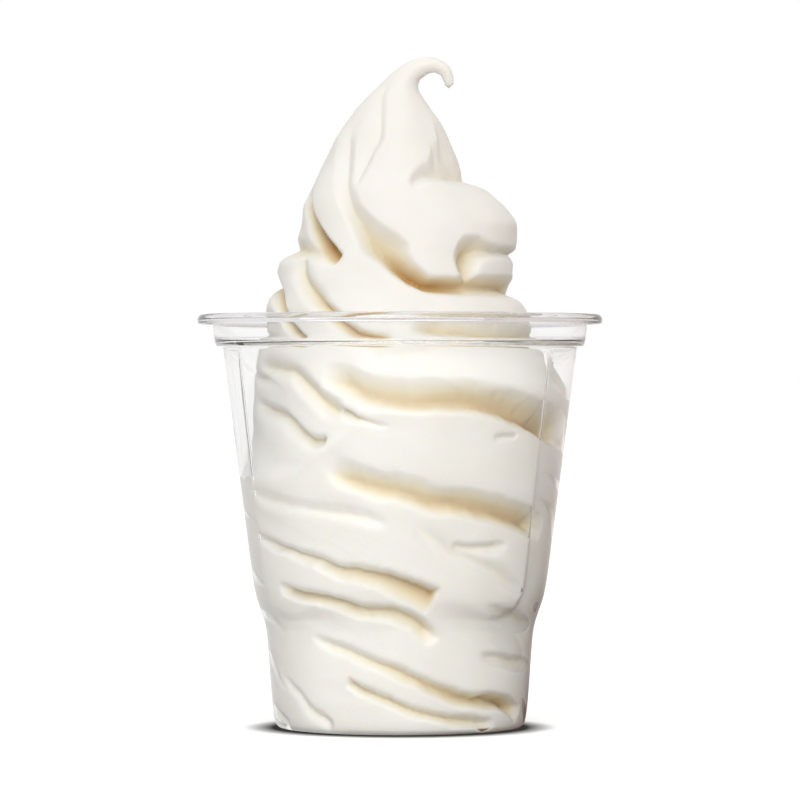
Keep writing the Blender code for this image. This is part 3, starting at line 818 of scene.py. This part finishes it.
def make_cup(material):
    angle = np.linspace(-math.pi, math.pi, CUP_SIDES, endpoint=False)
    profile = np.array(OUTER + INNER)
    stretches = len(profile) - 1
    at = np.linspace(0, stretches, PROFILE_STEPS * stretches + 1)
    knots = np.arange(len(profile))
    heights, radii = (curve_through(knots, profile[:, column], at) for column in (0, 1))
    rings = []
    for height, radius in zip(heights, radii):
        rings.append(ring_at(angle, radius + panel_rise(angle, height), height))
    points, faces = stacked_rings(rings, (0, 0, PUSH_UP), (0, 0, PUSH_UP + WALL))
    return add_piece("cup_shell", points, faces, material)


def make_soft_serve(material):
    under, raised = floor_rings(ring_angles(FOOD_SIDES))
    grid, warm = food_points(row_lengths(), FOOD_SIDES)
    rings = under + list(grid)
    points, faces = stacked_rings(rings, (0, 0, raised), (TIP_END[0], 0, TIP_END[1]))
    piece = add_piece("soft_serve_swirl", points, faces, material)
    # The attribute holds how deep each point lies in a fold, for the warm, dark shade that the material
    # paints there.
    painted_fold_shade = piece.data.attributes.new("painted_fold_shade", "FLOAT", "POINT")
    values = np.concatenate([np.zeros(1 + len(under) * FOOD_SIDES), warm.ravel(), [0.0]])
    painted_fold_shade.data.foreach_set("value", (values / PAINTED_SHADE_UNIT).astype(np.float32))
    return piece


def new_material(name):
    material = bpy.data.materials.new(name)
    material.use_nodes = True
    tree = material.node_tree
    tree.nodes.clear()
    output = tree.nodes.new("ShaderNodeOutputMaterial")
    shader = tree.nodes.new("ShaderNodeBsdfPrincipled")
    tree.links.new(shader.outputs[0], output.inputs["Surface"])
    return material, tree, shader, output


def coordinates(tree, kind):
    return tree.nodes.new("ShaderNodeTexCoord").outputs[kind]


def split_axes(tree, vector):
    node = tree.nodes.new("ShaderNodeSeparateXYZ")
    tree.links.new(vector, node.inputs[0])
    return node.outputs


def noise_value(tree, scale, detail, roughness=0.5):
    node = tree.nodes.new("ShaderNodeTexNoise")
    node.inputs["Scale"].default_value = scale
    node.inputs["Detail"].default_value = detail
    node.inputs["Roughness"].default_value = roughness
    tree.links.new(coordinates(tree, "Object"), node.inputs["Vector"])
    return node.outputs[0]


def map_range(tree, source, low, high, to_low=0.0, to_high=1.0):
    node = tree.nodes.new("ShaderNodeMapRange")
    for name, value in zip(("From Min", "From Max", "To Min", "To Max"), (low, high, to_low, to_high)):
        node.inputs[name].default_value = value
    tree.links.new(source, node.inputs["Value"])
    return node.outputs[0]


def vector_math(tree, operation, vector, other=(0.0, 0.0, 0.0)):
    node = tree.nodes.new("ShaderNodeVectorMath")
    node.operation = operation
    node.inputs[1].default_value = other
    tree.links.new(vector, node.inputs[0])
    return node.outputs["Value" if operation == "LENGTH" else "Vector"]


def mix_colour(tree, factor, first, second):
    node = tree.nodes.new("ShaderNodeMix")
    node.data_type = "RGBA"
    for socket, value in ((node.inputs[6], first), (node.inputs[7], second)):
        if isinstance(value, tuple):
            socket.default_value = value
        else:
            tree.links.new(value, socket)
    tree.links.new(factor, node.inputs[0])
    return node.outputs[2]


def mix_shaders(tree, factor, first, second):
    node = tree.nodes.new("ShaderNodeMixShader")
    for source, socket in zip((factor, first, second), node.inputs):
        tree.links.new(source, socket)
    return node.outputs[0]


def bump(tree, height, strength, distance, normal=None):
    node = tree.nodes.new("ShaderNodeBump")
    node.inputs["Strength"].default_value = strength
    node.inputs["Distance"].default_value = distance
    tree.links.new(height, node.inputs["Height"])
    if normal is not None:
        tree.links.new(normal, node.inputs["Normal"])
    return node.outputs[0]


def cream_with_painted_fold_shade(tree):
    """Slightly cloudy cream, with painted shade in the folds: warmer and darker the deeper a point lies."""
    painted_fold_shade = tree.nodes.new("ShaderNodeAttribute")
    painted_fold_shade.attribute_name = "painted_fold_shade"
    cloudy = map_range(tree, noise_value(tree, scale=60, detail=3), 0.35, 0.65)
    cream = mix_colour(tree, cloudy, *CREAM)
    shallow = map_range(tree, painted_fold_shade.outputs["Fac"], *SHALLOW)
    yellowish = mix_colour(tree, shallow, cream, PAINTED_SHALLOW_FOLD_SHADE)
    deep = map_range(tree, painted_fold_shade.outputs["Fac"], *DEEP)
    return mix_colour(tree, deep, yellowish, PAINTED_DEEP_FOLD_SHADE)


def ice_cream_material():
    material, tree, shader, _ = new_material("vanilla_soft_serve")
    tree.links.new(cream_with_painted_fold_shade(tree), shader.inputs["Base Color"])
    rough = map_range(tree, noise_value(tree, scale=400, detail=4), 0.3, 0.7, to_low=0.48, to_high=0.66)
    tree.links.new(rough, shader.inputs["Roughness"])
    streaks = noise_value(tree, scale=220, detail=4, roughness=0.6)
    grain = noise_value(tree, scale=1500, detail=2)
    normal = bump(tree, streaks, strength=0.35, distance=0.0004)
    normal = bump(tree, grain, strength=0.15, distance=0.0001, normal=normal)
    tree.links.new(normal, shader.inputs["Normal"])
    shader.inputs["Subsurface Weight"].default_value = 0.25
    shader.inputs["Subsurface Radius"].default_value = SCATTER_RADIUS
    shader.inputs["Subsurface Scale"].default_value = 1.0
    shader.inputs["Specular IOR Level"].default_value = 0.35
    return material


def clear_plastic_material():
    """Clear plastic with slight waves. Light for the shadows passes straight through it."""
    material, tree, shader, output = new_material("clear_cup_plastic")
    in_brim = map_range(tree, split_axes(tree, coordinates(tree, "Object"))["Z"], *BRIM_FROM)
    tree.links.new(mix_colour(tree, in_brim, CLEAR, BRIM_TINT), shader.inputs["Base Color"])
    shader.inputs["Transmission Weight"].default_value = 1.0
    shader.inputs["IOR"].default_value = 1.5
    rough = map_range(tree, noise_value(tree, scale=120, detail=3), 0.35, 0.65, to_low=0.01, to_high=0.035)
    tree.links.new(rough, shader.inputs["Roughness"])
    waves = bump(tree, noise_value(tree, scale=45, detail=2), strength=0.05, distance=0.0006)
    tree.links.new(waves, shader.inputs["Normal"])
    through = tree.nodes.new("ShaderNodeBsdfTransparent")
    through.inputs[0].default_value = LET_THROUGH
    rays = tree.nodes.new("ShaderNodeLightPath")
    both = mix_shaders(tree, rays.outputs["Is Shadow Ray"], shader.outputs[0], through.outputs[0])
    tree.links.new(both, output.inputs["Surface"])
    return material


def mirrored_sides(tree, direction, right):
    """White straight behind the cup and darker round it, towards another colour at the right."""
    axes = split_axes(tree, direction)
    behind = map_range(tree, axes["Y"], *BEHIND)
    to_the_right = map_range(tree, axes["X"], *SIDEWAYS)
    sides = mix_colour(tree, to_the_right, WORLD_LEFT, right)
    return mix_colour(tree, behind, sides, WHITE)


def after_a_surface(tree, rays):
    """1 for a ray that has left a matt surface, and 0 for the others."""
    return map_range(tree, rays.outputs["Diffuse Depth"], 0.0, 1.0)


def paint_floor(tree, shader, from_axis):
    """What the camera sees: white where the floor is open, and a painted contact shadow, dark close under the
    cup.
    """
    outside_painted_shadow = map_range(tree, from_axis, *PAINTED_SHADOW_RADII)
    tone = map_range(tree, noise_value(tree, scale=3, detail=2), 0.3, 0.7, to_low=0.95, to_high=0.97)
    tree.links.new(mix_colour(tree, outside_painted_shadow, PAINTED_CONTACT_SHADOW, tone), shader.inputs["Base Color"])
    shader.inputs["Roughness"].default_value = 0.9
    shader.inputs["Specular IOR Level"].default_value = 0.0
    shader.inputs["Emission Color"].default_value = WHITE
    glow = map_range(tree, outside_painted_shadow, 0.0, 1.0, *FLOOR_GLOW)
    tree.links.new(glow, shader.inputs["Emission Strength"])


def mirrored_floor(tree, place, from_axis):
    """What the plastic mirrors of the floor: the world's sides, but dark near the cup at the right."""
    far_off = map_range(tree, from_axis, *FAR_FLOOR)
    right = mix_colour(tree, far_off, FLOOR_RIGHT, WORLD_RIGHT)
    direction = vector_math(tree, "NORMALIZE", place)
    mirrored = tree.nodes.new("ShaderNodeEmission")
    tree.links.new(mirrored_sides(tree, direction, right), mirrored.inputs[0])
    return mirrored.outputs[0]


def floor_material():
    """A floor that the camera sees white and the plastic mirrors darker, and that throws back less light."""
    material, tree, shader, output = new_material("pale_floor")
    place = coordinates(tree, "Object")
    # Distance from a point a little in front of the cup's axis, round which the contact shadow is painted.
    from_axis = vector_math(tree, "LENGTH", vector_math(tree, "ADD", place, PAINTED_SHADOW_FORWARD))
    paint_floor(tree, shader, from_axis)
    mirrored = mirrored_floor(tree, place, from_axis)
    rays = tree.nodes.new("ShaderNodeLightPath")
    seen = mix_shaders(tree, rays.outputs["Is Camera Ray"], mirrored, shader.outputs[0])
    thrown_back = tree.nodes.new("ShaderNodeBsdfDiffuse")
    thrown_back.inputs[0].default_value = FLOOR_BOUNCE
    both = mix_shaders(tree, after_a_surface(tree, rays), seen, thrown_back.outputs[0])
    tree.links.new(both, output.inputs["Surface"])
    return material


def add_floor():
    mesh = bpy.data.meshes.new("floor")
    corner_places = [(x * FLOOR_HALF, y * FLOOR_HALF, 0) for x, y in ((-1, -1), (1, -1), (1, 1), (-1, 1))]
    mesh.from_pydata(corner_places, [], [(0, 1, 2, 3)])
    mesh.materials.append(floor_material())
    floor = bpy.data.objects.new("floor", mesh)
    bpy.context.scene.collection.objects.link(floor)


def add_world():
    """A white backdrop straight behind the cup, darker sides for the plastic, and the ambient light."""
    world = bpy.data.worlds.new("studio")
    bpy.context.scene.world = world
    world.use_nodes = True
    world.cycles.sampling_method = "NONE"
    tree = world.node_tree
    direction = coordinates(tree, "Generated")
    axes = split_axes(tree, direction)
    to_the_right = map_range(tree, axes["X"], *AMBIENT_SIDEWAYS)
    from_behind = map_range(tree, axes["Y"], *AMBIENT_BEHIND)
    felt = mix_colour(tree, to_the_right, AMBIENT_LEFT, AMBIENT_RIGHT)
    felt = mix_colour(tree, from_behind, felt, AMBIENT_BACK)
    seen = mirrored_sides(tree, direction, WORLD_RIGHT)
    rays = tree.nodes.new("ShaderNodeLightPath")
    colour = mix_colour(tree, after_a_surface(tree, rays), seen, felt)
    tree.links.new(colour, tree.nodes["Background"].inputs["Color"])


def add_light(name, place, aim, size, power):
    data = bpy.data.lights.new(name, "AREA")
    data.shape = "RECTANGLE"
    data.size, data.size_y = size
    data.energy = power
    light = bpy.data.objects.new(name, data)
    light.location = place
    light.rotation_euler = (Vector(aim) - Vector(place)).to_track_quat("-Z", "Y").to_euler()
    bpy.context.scene.collection.objects.link(light)


def add_soft_sun(name, come_from, energy, width):
    """A broad soft light that reaches the whole floor alike. Its width is an angle in degrees."""
    data = bpy.data.lights.new(name, "SUN")
    data.energy = energy
    data.angle = math.radians(width)
    light = bpy.data.objects.new(name, data)
    light.rotation_euler = Vector(come_from).to_track_quat("Z", "Y").to_euler()
    bpy.context.scene.collection.objects.link(light)


def add_camera():
    data = bpy.data.cameras.new("camera")
    data.lens, data.sensor_width = LENS, SENSOR
    data.clip_end = SEE_TO
    camera = bpy.data.objects.new("camera", data)
    camera.location = CAMERA_PLACE
    camera.rotation_euler = (Vector(CAMERA_AIM) - camera.location).to_track_quat("-Z", "Y").to_euler()
    bpy.context.scene.collection.objects.link(camera)
    bpy.context.scene.camera = camera


def set_look(scene):
    """Plain display colours, and enough bounces for light to cross both walls of the cup and back."""
    scene.view_settings.view_transform = "Standard"
    scene.cycles.use_denoising = True
    scene.cycles.max_bounces = 24
    scene.cycles.transmission_bounces = 20
    scene.cycles.glossy_bounces = 16


def main():
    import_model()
    food = make_soft_serve(ice_cream_material())
    cup = make_cup(clear_plastic_material())
    for piece, node, slot in ((food, "soft_serve", "ice_cream"), (cup, "cup", "clear_plastic")):
        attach(piece, "root")
        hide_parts(node)
    add_floor()
    add_world()
    add_light("key", place=(-0.6, -0.7, 0.6), aim=(0, 0, 0.09), size=(0.5, 0.5), power=0.1)
    add_soft_sun("overhead", come_from=(-0.05, -0.08, 0.98), energy=OVERHEAD, width=60)
    add_soft_sun("front", come_from=(-0.03, -0.93, 0.32), energy=FRONT, width=50)
    add_camera()
    set_look(bpy.context.scene)
    bpy.context.view_layer.update()


main()
